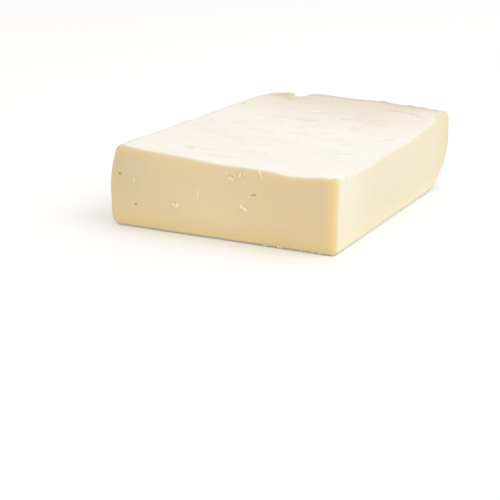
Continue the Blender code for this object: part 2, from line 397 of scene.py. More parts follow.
def as_object(name, points, faces):
    """An object from corners and faces, moved so that the block's middle comes over the origin."""
    mesh = bpy.data.meshes.new(name)
    mesh.from_pydata([tuple(point) for point in points - middle], [], [tuple(face) for face in faces])
    mesh.validate()
    made = bpy.data.objects.new(name, mesh)
    scene.collection.objects.link(made)
    return made


# %% [markdown]
# ## Relief
#
# A rind is never smooth: it dries in fine wrinkles that mostly run one way, with soft swells between
# them. A knife leaves a flat face with faint drag lines. Both could be bump maps alone, but a bump
# never shows on an outline or in low light, so what is taller than a tenth of a millimetre is moved in
# the mesh. Blender's own gradient noise gives the patterns, stretched by a length for each axis.


# %% Noise and normals
NORMAL_STEP = 0.00001


def noise_at(points, reach, seed):
    """Gradient noise between about -1 and 1. The reach is its length along X, Y and Z, in metres."""
    scaled = points / np.array(reach) + seed
    return np.array([noise.noise(Vector(point)) for point in scaled])


def cos_sin(degrees):
    return math.cos(math.radians(degrees)), math.sin(math.radians(degrees))


def uneven(points, height, reach, seed):
    """Noise of a given height."""
    return height * noise_at(points, reach, seed)


def normals_of(points):
    """The direction straight out of the form at each point, from how fast `outside` grows."""
    steps = NORMAL_STEP * np.eye(3)
    slopes = [outside(points + step) - outside(points - step) for step in steps]
    normal = np.stack(slopes, axis=1)
    return normal / np.linalg.norm(normal, axis=1)[:, None]


# %% [markdown]
# A wrinkle is a thin line, so it isn't noise itself but the place where stretched noise crosses 0. The
# points sway a little before the noise is read, which makes the lines wander. On the top they run
# askew to the block, because it was cut out of a larger loaf. They come in patches, and there are more
# of them towards the back rim.


# %% Wrinkles
SWAY = 0.0016
SWAY_REACH = (0.014, 0.03, 0.03)
LINE_SHARPNESS = 1.5
WRINKLE_DEGREES = 27.0
MOST_WRINKLED = (-0.052, 0.100)
WRINKLED_REACH = (0.050, 0.055)
LEAST_WRINKLED = 0.45
SIDES_WRINKLED = 0.9
LEFT_WRINKLED = 0.8
FACES_SIDEWAYS = (0.6, 0.8)
LIES_FLAT = (0.3, 0.8)

# Sets of lines: the reach of their noise along X, Y and Z, a line's width, the seed and the strength
COARSE = ((0.022, 0.0046, 0.0046), 0.13, 3.3, 1.0)
FINE = ((0.010, 0.0021, 0.0021), 0.22, 8.1, 0.85)
LEFT_COARSE = ((0.022, 0.022, 0.0046), 0.13, 5.7, 1.0)
LEFT_FINE = ((0.014, 0.014, 0.0024), 0.20, 6.9, 0.85)

# Their patches: the noise's reach, the seed, the least share, and the noise where it rises and is full
COARSE_PATCHES = ((0.022, 0.012, 0.012), 1.9, 0.10, -0.20, 0.35)
FINE_PATCHES = ((0.014, 0.008, 0.008), 7.3, 0.15, -0.20, 0.40)
LEFT_PATCHES = ((0.022, 0.022, 0.012), 1.9, 0.20, -0.20, 0.35)


def turned(points):
    """The points seen along the wrinkles: X runs along them and Y across."""
    c, s = cos_sin(WRINKLE_DEGREES)
    x, y, z = points.T
    return np.stack([x * c + y * s, y * c - x * s, z], axis=1)


def furrow_lines(points, reach, width, seed, strength):
    """Thin lines, as strong as asked in their middle and 0 beside them."""
    sway = uneven(points, SWAY, SWAY_REACH, seed)
    swayed = points + sway[:, None] * np.array((0.0, 1.0, 1.0))
    line = 1.0 - np.abs(noise_at(swayed, reach, seed)) / width
    return strength * np.clip(line, 0.0, 1.0) ** LINE_SHARPNESS


def patches(points, reach, seed, least, start, full):
    """Patches where lines show in full, and the least share of them between."""
    return between(least, 1.0, ramp(noise_at(points, reach, seed), start, full))


def furrows(points):
    """The rind's wrinkles. They run askew on the top and the back, and along Y on the left side."""
    askew = turned(points)
    coarse = furrow_lines(askew, *COARSE) * patches(askew, *COARSE_PATCHES)
    fine = furrow_lines(askew, *FINE) * patches(askew, *FINE_PATCHES)
    on_left = np.maximum(furrow_lines(points, *LEFT_COARSE), furrow_lines(points, *LEFT_FINE))
    on_left *= LEFT_WRINKLED * patches(points, *LEFT_PATCHES)
    normal = normals_of(points)
    sideways = ramp(np.abs(normal[:, 0]), *FACES_SIDEWAYS)
    standing = 1.0 - ramp(normal[:, 2], *LIES_FLAT)
    off = (points[:, :2] - (RIGHT + MOST_WRINKLED[0], FRONT + MOST_WRINKLED[1])) / WRINKLED_REACH
    zone = between(LEAST_WRINKLED, 1.0, np.exp(-(off**2).sum(axis=1)))
    zone = np.maximum(zone, SIDES_WRINKLED * standing)
    return between(zone * np.maximum(coarse, fine), on_left, sideways)


# %% [markdown]
# The top also has marks of its own: a dent near the front left, creases near the back rim where the
# rind folds, a torn line by the right cut and pale streaks. Their tan is partly their own tint and
# partly painted shade in the groove. The pale streaks are low raised ridges, mostly beside creases,
# painted pale as a painted highlight on them. Each is a crooked dash: a place from the near corner,
# a length, a width, a heading in degrees, a depth and how strongly it is tinted. A pale one has a
# tint below 0, and a raised one a depth below 0.

# %% Marks on the top
MARKS = (
    (-0.0824, 0.0990, 0.0041, 0.0012, 19, 0.00020, 0.75),
    (-0.0810, 0.0960, 0.0042, 0.0016, 36, -0.00008, -0.90),
    (-0.0708, 0.1032, 0.0124, 0.0012, 32, 0.00010, 0.45),
    (-0.0683, 0.1025, 0.0083, 0.0012, 34, -0.00005, -0.60),
    (-0.0562, 0.1199, 0.0124, 0.0012, 24, 0.00018, 0.70),
    (-0.0610, 0.1207, 0.0052, 0.0012, 31, -0.00005, -0.50),
    (-0.0586, 0.1017, 0.0049, 0.0012, 75, 0.00014, 0.60),
    (-0.0559, 0.1058, 0.0053, 0.0012, 38, 0.00014, 0.60),
    (-0.0552, 0.1009, 0.0091, 0.0013, 56, -0.00006, -0.60),
    (-0.0670, 0.0919, 0.0040, 0.0015, 24, 0.00015, 0.70),
    (-0.0421, 0.1156, 0.0056, 0.0014, 21, 0.00012, 0.90),
    (-0.0384, 0.1189, 0.0047, 0.0012, 62, 0.00012, 0.60),
    (-0.0240, 0.1392, 0.0080, 0.0022, -8, 0.00032, 0.90),
    (-0.0185, 0.1384, 0.0052, 0.0021, -4, 0.00038, 1.00),
    (-0.0146, 0.1377, 0.0056, 0.0021, -14, 0.00036, 0.90),
    (-0.0103, 0.1359, 0.0064, 0.0020, -28, 0.00026, 0.60),
    (-0.0205, 0.1452, 0.0200, 0.0036, -16, 0.00005, 0.50),
    (-0.0169, 0.1350, 0.0051, 0.0015, 16, -0.00008, -0.45),
    (-0.0106, 0.1300, 0.0065, 0.0014, 0, -0.00008, -0.35),
    (-0.0251, 0.1210, 0.0047, 0.0012, 62, 0.00010, 0.50),
    (-0.0374, 0.1100, 0.0054, 0.0018, 1, -0.00006, -0.60),
    (-0.0340, 0.1064, 0.0044, 0.0012, 59, 0.00015, 0.60),
    (-0.0322, 0.1030, 0.0044, 0.0012, 59, 0.00010, 0.50),
    (-0.0485, 0.0703, 0.0044, 0.0012, 50, 0.00015, 0.60),
    (-0.0466, 0.0634, 0.0032, 0.0012, 47, 0.00012, 0.50),
    (-0.0631, 0.0714, 0.0061, 0.0013, 90, 0.00010, 0.50),
    (-0.0406, 0.0873, 0.0098, 0.0012, 47, 0.00010, 0.45),
    (-0.0205, 0.0536, 0.0048, 0.0012, 68, 0.00015, 0.60),
    (-0.0169, 0.0548, 0.0050, 0.0014, -10, 0.00025, 1.00),
    (-0.0169, 0.0377, 0.0070, 0.0014, 44, 0.00010, 0.45),
    (-0.0616, 0.0128, 0.0038, 0.0012, 15, 0.00012, 0.60),
    (-0.0835, 0.0176, 0.0028, 0.0016, 68, 0.00020, 1.00),
    (-0.0812, 0.0164, 0.0047, 0.0015, -40, 0.00020, 1.00),
    (-0.0808, 0.0187, 0.0050, 0.0018, 90, 0.00018, 0.80),
    (-0.0739, 0.0201, 0.0073, 0.0040, 51, 0.00005, 0.35),
    (-0.0991, 0.1159, 0.0086, 0.0018, 92, 0.00012, 1.00),
    (-0.0981, 0.1245, 0.0047, 0.0014, -27, 0.00010, 0.80),
    (-0.0966, 0.0683, 0.0057, 0.0012, 78, 0.00010, 0.60),
    (-0.0966, 0.0728, 0.0035, 0.0012, 23, 0.00010, 0.60),
    (-0.0747, 0.0713, 0.0053, 0.0012, 47, 0.00012, 0.60),
    (-0.0569, 0.0319, 0.0054, 0.0026, 39, 0.00008, 0.45),
    (-0.0532, 0.0277, 0.0037, 0.0016, 20, 0.00010, 0.50),
    (-0.0486, 0.0301, 0.0099, 0.0015, -60, 0.00010, 0.40),
    (-0.0562, 0.0904, 0.0052, 0.0012, 53, 0.00010, 0.40),
    (-0.0508, 0.0949, 0.0057, 0.0012, 68, 0.00010, 0.45),
    (-0.0612, 0.1389, 0.0084, 0.0016, 18, 0.00015, 0.60),
    (-0.0775, 0.1416, 0.0150, 0.0030, 18, 0.00003, 0.75),
    (-0.0795, 0.1388, 0.0140, 0.0060, 18, 0.00002, 0.40),
    (-0.0196, 0.1520, 0.0048, 0.0044, 10, -0.00050, 0.80),
    (-0.0352, 0.1530, 0.0042, 0.0040, 10, -0.00036, 0.70),
    (-0.0130, 0.1515, 0.0036, 0.0040, 10, -0.00030, 0.60),
    (-0.0091, 0.0920, 0.0062, 0.0013, 8, 0.00026, 0.90),
    (-0.0048, 0.0870, 0.0045, 0.0016, -6, -0.00010, -0.90),
    (-0.0443, 0.1415, 0.0162, 0.0020, 6, 0.00008, 0.40),
    (-0.0701, 0.0129, 0.0081, 0.0010, 11, 0.00008, 0.40),
    (-0.0594, 0.0141, 0.0144, 0.0010, 20, 0.00009, 0.45),
)
MARK_SOFTNESS = 4.0
MARKED_HEIGHT = (CORNER_HEIGHT - 0.006, CORNER_HEIGHT - 0.004)

# Unevenness by noise: its height, its reach along X, Y and Z, and its seed
CROOK = (0.0006, (0.0035, 0.0035, 0.01), 9.4)


def mark_weights(points):
    """How deep each point lies in a mark, and how strongly it is tinted."""
    depth = np.zeros(len(points))
    tint = np.zeros(len(points))
    crook = uneven(points, *CROOK)
    on_top = ramp(points[:, 2], *MARKED_HEIGHT)
    for from_right, from_front, length, width, heading, deep, strong in MARKS:
        c, s = cos_sin(heading)
        offset = points[:, :2] - (RIGHT + from_right, FRONT + from_front)
        lengthwise = 2.0 * (offset @ (c, s)) / length
        sideways = (offset @ (-s, c) + crook) / width
        tapered = np.sqrt(np.clip(1.0 - lengthwise**2, 0.0, 1.0))
        weight = tapered * np.exp(-MARK_SOFTNESS * sideways**2) * on_top
        depth = np.where(abs(deep) * weight > np.abs(depth), deep * weight, depth)
        tint = np.where(abs(strong) * weight > np.abs(tint), strong * weight, tint)
    return depth, tint


# %% Move the skin
FURROW_DEPTH = 0.00018
RIND_BORDER = (0.0002, 0.0014)
BY_RIGHT = (RIGHT - 0.004, RIGHT - 0.002)
WITHIN_CHIP = (-0.0008, 0.0004)
FLAT_FOOT = 0.001
SWELL = (0.00016, (0.017, 0.013, 0.013), 4.2)
DRAG = (0.00004, (0.0016, 0.0016, 0.018), 6.4)
TORN = (0.0006, (0.0028, 0.0028, 0.0028), 5.1)
EDGE_JITTER, RIGHT_JITTER = 0.0013, 0.0046
JITTER_NOISE = ((0.0055, 0.0055, 0.0055), 2.8)

on_rind = ramp(-outside_cuts(skin), *RIND_BORDER)
rind_relief = uneven(skin, *SWELL) - FURROW_DEPTH * furrows(skin) - mark_weights(skin)[0]
jitter = between(EDGE_JITTER, RIGHT_JITTER, ramp(skin[:, 0], *BY_RIGHT))
edge_relief = uneven(skin, jitter, *JITTER_NOISE) * on_rind * (1.0 - on_rind)
torn = uneven(skin, *TORN) * ramp(-outside_chip(skin), *WITHIN_CHIP)
relief = between(uneven(skin, *DRAG), rind_relief, on_rind) + edge_relief + torn
relief *= ramp(skin[:, 2], 0.0, FLAT_FOOT)
skin = skin + normals_of(skin) * relief[:, None]
print("relief, mm:", np.round(TO_MM * relief.min(), 3), "to", np.round(TO_MM * relief.max(), 3))

# %% [markdown]
# ## Eyes and pits
#
# The eyes are the small holes that gas leaves in the paste, and the knife also tore a few shallow pits
# and dimples. Booleans could cut them, but an exact Boolean on a mesh as large as this one takes
# gigabytes. Instead the squares around each hole are cut finer, and their corners are pushed into the
# cheese. A row gives a hole's distance from the right cut, its height above the board, its length,
# width and depth, its tilt in degrees and how strongly its outline is dented.

# %% The hollows of the front cut
Hole = namedtuple("Hole", "from_right height length width depth tilt dents")
HOLES = (
    (-0.0406, 0.0233, 0.0030, 0.0015, 0.00070, -8, 0.35),
    (-0.1094, 0.0250, 0.0023, 0.0014, 0.00070, 25, 0.50),
    (-0.1088, 0.0106, 0.0012, 0.0022, 0.00016, 8, 0.3),
    (-0.1008, 0.0112, 0.0012, 0.0014, 0.00060, 35, 0.3),
    (-0.1013, 0.0233, 0.0013, 0.0042, 0.00010, -4, 0.3),
    (-0.0992, 0.0229, 0.0009, 0.0034, 0.00034, 3, 0.3),
    (-0.0242, 0.0306, 0.0011, 0.0008, 0.00030, 10, 0.3),
    (-0.0680, 0.0202, 0.0009, 0.0052, 0.00010, 5, 0.2),
    (-0.0492, 0.0311, 0.0085, 0.0036, 0.00016, -6, 0.8),
    (-0.0532, 0.0310, 0.0014, 0.0009, 0.00028, 30, 0.5),
    (-0.0484, 0.0303, 0.0012, 0.0016, 0.00028, 0, 0.5),
    (-0.0454, 0.0313, 0.0013, 0.0008, 0.00025, 40, 0.5),
    (-0.0315, 0.0169, 0.0020, 0.0026, 0.0001, 20, 0.3),
    (-0.0485, 0.0088, 0.0030, 0.0022, 0.0001, 10, 0.3),
    (-0.0404, 0.0095, 0.0030, 0.0018, 0.0001, 0, 0.3),
    (-0.0511, 0.0205, 0.0022, 0.0008, 0.0002, 12, 0.3),
)
HOLES = [Hole(*row) for row in HOLES]
HOLE_MARGIN = 0.0007
FRONT_LAYER = 0.0015
DENT_REACH = 0.35
FIRST_HOLE_SEED = 11.0


def within_hole(points, hole, seed):
    """0 in a hole's middle, 1 on its outline, more outside. The outline is dented by noise."""
    c, s = cos_sin(hole.tilt)
    across, up = points[:, 0] - RIGHT - hole.from_right, points[:, 2] - hole.height
    lengthwise = (across * c - up * s) / (hole.length / 2)
    sideways = (across * s + up * c) / (hole.width / 2)
    reach = DENT_REACH * math.sqrt(hole.length * hole.width)
    return np.hypot(lengthwise, sideways) * (1.0 + uneven(points, hole.dents, (reach,) * 3, seed))


def hole_depth(points):
    """How deep the front cut is hollowed at each point."""
    depth = np.zeros(len(points))
    for number, hole in enumerate(HOLES):
        size = hole.length + hole.width
        centre = np.array([RIGHT + hole.from_right, FRONT, hole.height])
        close = np.nonzero(np.abs(points - centre).max(axis=1) < size)[0]
        ratio = within_hole(points[close], hole, FIRST_HOLE_SEED + number)
        dent = hole.depth * np.sqrt(np.clip(1.0 - ratio**2, 0.0, 1.0))
        depth[close] = np.maximum(depth[close], dent)
    return depth


def refine(points, faces, picked, cuts):
    """Cuts the picked faces finer. Returns all corners and faces."""
    mesh = bpy.data.meshes.new("refined")
    mesh.from_pydata([tuple(point) for point in points], [], [tuple(face) for face in faces])
    grown = bmesh.new()
    grown.from_mesh(mesh)
    bpy.data.meshes.remove(mesh)
    grown.faces.ensure_lookup_table()
    edges = {edge for number in picked for edge in grown.faces[number].edges}
    bmesh.ops.subdivide_edges(grown, edges=list(edges), cuts=cuts, use_grid_fill=True)
    grown.verts.index_update()
    points = np.array([vertex.co for vertex in grown.verts])
    faces = [tuple(vertex.index for vertex in face.verts) for face in grown.faces]
    grown.free()
    return points, faces


# %% Push in the eyes
CUTS = 5
SHARP_ANGLE = math.radians(50)

centres = skin[squares].mean(axis=1)
picked = np.zeros(len(squares), bool)
for hole in HOLES:
    reach = 0.5 * max(hole.length, hole.width) + HOLE_MARGIN
    off = np.abs(centres - (RIGHT + hole.from_right, FRONT, hole.height))
    picked |= (off[:, 0] < reach) & (off[:, 2] < reach) & (off[:, 1] < FRONT_LAYER)
skin, faces = refine(skin, squares, np.nonzero(picked)[0], CUTS)
on_front = ramp(FRONT + FRONT_LAYER - skin[:, 1], 0.0, 0.5 * FRONT_LAYER)
skin[:, 1] += hole_depth(skin) * on_front

body = as_object("cheese_body", skin, faces)
body.data.shade_smooth()
body.data.set_sharp_from_angle(angle=SHARP_ANGLE)
print("finer squares:", int(picked.sum()), "body faces:", len(body.data.polygons))

# %% [markdown]
# ## Crumbs and lips
#
# The knife leaves crumbs of paste on the cut, lips beside the eyes and burrs along the bottom edge. Each
# is a dented ball whose middle stands just off the cut, and all of them are joined into one mesh.
# A row gives the place, the length, the width, the thickness, the tilt and how strongly it is dented.


# %% A dented ball
BALL_FINENESS = 3
BALL_DENT_REACH = (0.55, 0.55, 0.55)


def ball(radii, dents, seed):
    """Corners and triangles of a ball with noisy dents, stretched to the radii."""
    build = bmesh.new()
    bmesh.ops.create_icosphere(build, subdivisions=BALL_FINENESS, radius=1.0)
    build.verts.index_update()
    points = np.array([vertex.co for vertex in build.verts])
    faces = [tuple(vertex.index for vertex in face.verts) for face in build.faces]
    build.free()
    swell = 1.0 + uneven(points, dents, BALL_DENT_REACH, seed)
    return points * swell[:, None] * np.array(radii), faces


def tilted(points, degrees):
    """Turns points about the Y axis, clockwise as seen from the front."""
    c, s = cos_sin(degrees)
    return points @ np.array(((c, 0.0, -s), (0.0, 1.0, 0.0), (s, 0.0, c)))


# %% Crumbs on the front cut
CRUMBS = (
    (-0.0812, 0.0136, 0.0022, 0.0017, 0.0011, 20, 0.4),
    (-0.0792, 0.0135, 0.0019, 0.0021, 0.0012, -10, 0.4),
    (-0.0803, 0.0122, 0.0018, 0.0011, 0.0009, 0, 0.4),
    (-0.0795, 0.0159, 0.0009, 0.0012, 0.0007, 30, 0.4),
    (-0.0465, 0.0172, 0.0026, 0.0019, 0.0013, 30, 0.4),
    (-0.0447, 0.0160, 0.0026, 0.0018, 0.0013, 40, 0.4),
    (-0.0379, 0.0344, 0.0020, 0.0009, 0.0009, 78, 0.2),
    (-0.0369, 0.0326, 0.0030, 0.0011, 0.0010, 62, 0.2),
    (-0.0429, 0.0220, 0.0020, 0.0010, 0.0007, -35, 0.3),
    (-0.0412, 0.0221, 0.0026, 0.0005, 0.0005, 4, 0.2),
    (-0.0526, 0.0298, 0.0021, 0.0015, 0.0009, 15, 0.5),
    (-0.0512, 0.0293, 0.0014, 0.0010, 0.0007, -20, 0.5),
    (-0.0512, 0.0327, 0.0018, 0.0006, 0.0006, -40, 0.5),
    (-0.0498, 0.0308, 0.0012, 0.0009, 0.0006, 50, 0.5),
    (-0.0476, 0.0316, 0.0010, 0.0020, 0.0008, 12, 0.4),
    (-0.0455, 0.0322, 0.0014, 0.0006, 0.0006, 35, 0.4),
    (-0.0467, 0.0297, 0.0013, 0.0006, 0.0005, -15, 0.4),
    (-0.0540, 0.0315, 0.0010, 0.0014, 0.0005, 25, 0.4),
    (-0.1018, 0.0232, 0.0009, 0.0038, 0.0006, -4, 0.3),
    (-0.0981, 0.0232, 0.0005, 0.0022, 0.0004, 10, 0.3),
    (-0.0686, 0.0203, 0.0008, 0.0054, 0.0005, 5, 0.2),
    (-0.1101, 0.0259, 0.0009, 0.0004, 0.0003, 30, 0.3),
    (-0.1016, 0.0114, 0.0004, 0.0014, 0.0004, 10, 0.3),
    (-0.0278, 0.0007, 0.0014, 0.0009, 0.0007, 30, 0.5),
    (-0.0264, 0.0005, 0.0010, 0.0007, 0.0006, -20, 0.5),
    (-0.0165, 0.0005, 0.0011, 0.0007, 0.0006, 10, 0.5),
    (-0.0112, 0.0006, 0.0016, 0.0006, 0.0006, 4, 0.5),
    (-0.0072, 0.0005, 0.0022, 0.0006, 0.0006, 2, 0.5),
    (-0.0345, 0.0004, 0.0020, 0.0005, 0.0005, 3, 0.5),
)
STANDS_OFF = 0.10
FIRST_CRUMB_SEED = 40.0
DEEPEST_CUT = FRONT + 2.0 * CUT_WAVE


def joined(parts):
    """One list of corners and one of faces from several."""
    all_points, all_faces, count = [], [], 0
    for points, faces in parts:
        all_points.append(points)
        all_faces += [tuple(corner + count for corner in face) for face in faces]
        count += len(points)
    return np.concatenate(all_points), all_faces


parts = []
for number, (from_right, height, length, width, thick, tilt, dents) in enumerate(CRUMBS):
    points, faces = ball((length / 2, thick / 2, width / 2), dents, FIRST_CRUMB_SEED + number)
    place = np.array([RIGHT + from_right, DEEPEST_CUT - STANDS_OFF * thick, height])
    parts.append((tilted(points, tilt) + place, faces))
crumbs = as_object("crumbs", *joined(parts))
crumbs.data.shade_smooth()
print("crumb faces:", len(crumbs.data.polygons))

# %% [markdown]
# ## The loose flake
#
# A tongue of rind has come loose on the back rim. It is a thin closed sheet laid between four corners:
# its grid follows the rim, one place near the torn right end lifts to a peak, and the end frays. The
# corners are counted from the right and the front cut, the left one first.

# %% The flake
FLAKE_FRONT = ((-0.0962, 0.1413), (-0.0804, 0.1358))
FLAKE_BACK = ((-0.0980, 0.1492), (-0.0874, 0.1548))
FLAKE_THICKNESS = 0.0009
FLAKE_LIFT = 0.0009
FLAKE_REST = 0.25
FLAKE_PEAK = 0.78
FLAKE_PEAK_REACH = 0.10
FLAKE_PEAK_RISE = (0.3, 0.75)
FLAKE_REST_END = (0.78, 1.0)
FLAKE_CROWN = 3
FLAKE_CRUMPLE = (0.00028, (0.0030, 0.0022, 1.0), 17.0)
FLAKE_CELLS = np.array((36, 26, 3))

# How its end frays and its front hem waves, over the sheet's own length and width from 0 to 1
SHEET = (1.0, 1.0, 1.0)
FRAY = (0.04, SHEET, 13.0)
FRAY_GRAIN = (5.0, 2.0, 0.0)
FRAYED_END = (0.6, 1.0)
HEM = (0.10, SHEET, 23.0)
HEM_GRAIN = (6.0, 0.0, 0.0)
HEM_REACH = (0.0, 0.6)

grid, faces = squares_on_cube(FLAKE_CELLS)
fractions = grid / FLAKE_CELLS
along, across, up = fractions.T
fray = uneven(np.stack([across, along, up], axis=1) * FRAY_GRAIN, *FRAY)
hem = uneven(fractions * HEM_GRAIN, *HEM)
reach = along + fray * ramp(along, *FRAYED_END)
wide = across + hem * (1.0 - ramp(across, *HEM_REACH))
front = [between(*ends, reach) for ends in zip(*FLAKE_FRONT)]
back = [between(*ends, reach) for ends in zip(*FLAKE_BACK)]
x = RIGHT + between(front[0], back[0], wide)
y = FRONT + between(front[1], back[1], wide)
crown = 1.0 - np.abs(2.0 * across - 1.0) ** FLAKE_CROWN
peak = np.exp(-(((along - FLAKE_PEAK) / FLAKE_PEAK_REACH) ** 2)) * ramp(across, *FLAKE_PEAK_RISE)
rest = 1.0 - ramp(along, *FLAKE_REST_END)
crumple = uneven(np.stack([x, y, 0.0 * x], axis=1), *FLAKE_CRUMPLE)
lift = (FLAKE_LIFT * between(peak, rest, FLAKE_REST) + crumple) * crown
z = surface_height(x, y) - FLAKE_THICKNESS * (1.0 - up) + up * lift
flake = as_object("rind_flake", np.stack([x, y, z], axis=1), faces)
flake.data.shade_smooth()
flake.data.set_sharp_from_angle(angle=SHARP_ANGLE)
print("flake, mm:", np.round(TO_MM * np.array(flake.dimensions), 2))

# %% [markdown]
# ## What the material needs to know
#
# Just under the rind the paste is more see-through, and it is painted yellower there: partly drying,
# partly a painted glow of light that comes in through the top. The rind's wrinkles are tinted tan,
# partly their own tint and partly painted shade. A shader can't measure how deep a point lies under
# the rind, but Python can, with the same functions that made the form. The answers are stored on the
# mesh as attributes, one number for each corner, and the shader reads them by name.

# %% Store the masks
RAGGED = (0.00022, (0.0022, 0.0022, 0.0022), 21.0)
RAGGED_RIGHT = (0.00062, (0.0050, 0.0050, 0.0050), 31.0)
SMEAR = 0.0028
SMEAR_START = 0.127
SMEAR_FULL = 0.144
SMEAR_HEIGHT = (0.006, 0.003)
SMEAR_END = (0.0058, 0.0082)
SMEAR_NOISE = (0.25, (0.0030, 0.0030, 0.0030), 41.0)
BESIDE_BLEND = 0.0015
CHIP_BORDER = (-0.0012, -0.0002)
HOLLOW_LAYER = (FRONT + 0.0030, FRONT + 0.0025)


def store(piece, name, values):
    """Stores one number for each corner of a piece."""
    attribute = piece.data.attributes.new(name, "FLOAT", "POINT")
    attribute.data.foreach_set("value", values.astype(np.float32))
    print(piece.name, name, np.round(values.min(), 2), "to", np.round(values.max(), 2))


def store_masks(piece):
    """Stores depths in millimetres, and other masks from 0 to 1."""
    places = np.empty(3 * len(piece.data.vertices))
    piece.data.vertices.foreach_get("co", places)
    places = places.reshape(-1, 3) + middle
    x, y, z = places.T
    from_top = top_height(x, y) - z
    from_back = back_side(x, z) - y
    ragged = uneven(places, *RAGGED) + uneven(places, *RAGGED_RIGHT) * ramp(x, *BY_RIGHT)
    smear = SMEAR * ramp(y - FRONT, SMEAR_START, SMEAR_FULL) * ramp(from_top, *SMEAR_HEIGHT)
    smear *= (1.0 + uneven(places, *SMEAR_NOISE)) * ramp(from_back, *SMEAR_END)
    beside = from_top - np.minimum(np.minimum(x - left_side(y, z), from_back), z)
    store(piece, "under_rind", TO_MM * (ragged - outside_rind(places)))
    store(piece, "inside_cut", -TO_MM * (outside_cuts(places) + smear))
    store(piece, "beside", ramp(beside, -BESIDE_BLEND, BESIDE_BLEND))
    store(piece, "from_left", TO_MM * (x - left_side(y, top_height(x, y))))
    store(piece, "from_back", TO_MM * (back_side(x, BACK_BELLY_HEIGHT) - y))
    store(piece, "furrow", furrows(places) * ramp(-outside_cuts(places), *RIND_BORDER))
    store(piece, "mark", mark_weights(places)[1])
    store(piece, "chip", ramp(-outside_chip(places), *CHIP_BORDER))
    store(piece, "hollow", TO_MM * hole_depth(places) * ramp(y, *HOLLOW_LAYER))


store_masks(body)
store(flake, "along", along)
store(flake, "across", across)

# %% [markdown]
# ## Shader maths as Python
#
# A node tree is easier to read as sums than as boxes and lines. This class wraps one socket. Adding or
# multiplying wires adds the Math nodes, and `node` adds any other node: first its settings, then the
# values or links of its sockets.


# %% A wire that can be added and multiplied
def plug(node, values):
    """Links each wire to the node's socket of that name, or sets a plain value there."""
    for name, value in values.items():
        if isinstance(value, Wire):
            Wire.tree.links.new(value.socket, node.inputs[name])
        else:
            node.inputs[name].default_value = value


class Wire:
    tree = None

    def __init__(self, socket):
        self.socket = socket

    @classmethod
    def node(cls, kind, settings, sockets, output=0):
        made = cls.tree.nodes.new(kind)
        for name, value in settings.items():
            setattr(made, name, value)
        plug(made, sockets)
        return cls(made.outputs[output])

    @classmethod
    def math(cls, operation, *values):
        return cls.node("ShaderNodeMath", {"operation": operation}, dict(enumerate(values)))

    def __add__(self, other):
        return Wire.math("ADD", self, other)

    def __sub__(self, other):
        return Wire.math("SUBTRACT", self, other)

    def __rsub__(self, other):
        return Wire.math("SUBTRACT", other, self)

    def __mul__(self, other):
        return Wire.math("MULTIPLY", self, other)

    __radd__ = __add__
    __rmul__ = __mul__


# %% A few words for the shader
def stored(name):
    """A mask that Python stored on the mesh."""
    return Wire.node("ShaderNodeAttribute", {"attribute_name": name}, {}, "Fac")


def step_up(value, low, high):
    """Like `ramp`, for a wire."""
    settings = {"interpolation_type": "SMOOTHSTEP"}
    return Wire.node("ShaderNodeMapRange", settings, {0: value, 1: low, 2: high})


def steps(**rises):
    """Several masks by name. Each rises from 0 to 1 between two values of a wire."""
    return SimpleNamespace(**{name: step_up(*rise) for name, rise in rises.items()})


def more(first, second):
    """The greater of two wires."""
    return Wire.math("MAXIMUM", first, second)


def colour(value):
    return value if isinstance(value, Wire) else (*value, 1.0)


def blend(below, above, share):
    """One colour over another, by a share from 0 to 1."""
    sockets = {0: share, 6: colour(below), 7: colour(above)}
    return Wire.node("ShaderNodeMix", {"data_type": "RGBA"}, sockets, 2)


def layered(ground, *coats):
    """Coats of colour over a ground. Each has its colour, its mask and how strongly it covers."""
    for paint, mask, strength in coats:
        ground = blend(ground, paint, mask * strength)
    return ground


def parts_of(vector):
    """The X, Y and Z of a vector."""
    return [Wire.node("ShaderNodeSeparateXYZ", {}, {0: vector}, axis) for axis in "XYZ"]


def stretched_noise(reach, detail, seed=0.0):
    """Noise between 0 and 1 whose grain has a length along X, Y and Z, in metres."""
    place = Wire.node("ShaderNodeTexCoord", {}, {}, "Object")
    settings = {"vector_type": "POINT"}
    scaling = {0: place, 1: (seed, seed, seed), 3: tuple(1.0 / length for length in reach)}
    vector = Wire.node("ShaderNodeMapping", settings, scaling)
    return Wire.node("ShaderNodeTexNoise", {}, {"Vector": vector, "Scale": 1.0, "Detail": detail})


def waxy(paint, roughness, radius, scale):
    """Settings of a shader that lets light wander under its surface."""
    return {
        "Base Color": paint,
        "Roughness": roughness,
        "Subsurface Weight": 1.0,
        "Subsurface Radius": radius,
        "Subsurface Scale": scale,
    }


def bump(height):
    sockets = {"Strength": 0.35, "Distance": 0.00014, "Height": height}
    return Wire.node("ShaderNodeBump", {}, sockets)


def new_material(name):
    material = bpy.data.materials.new(name)
    material.use_nodes = True
    Wire.tree = material.node_tree
    return material, material.node_tree.nodes["Principled BSDF"]
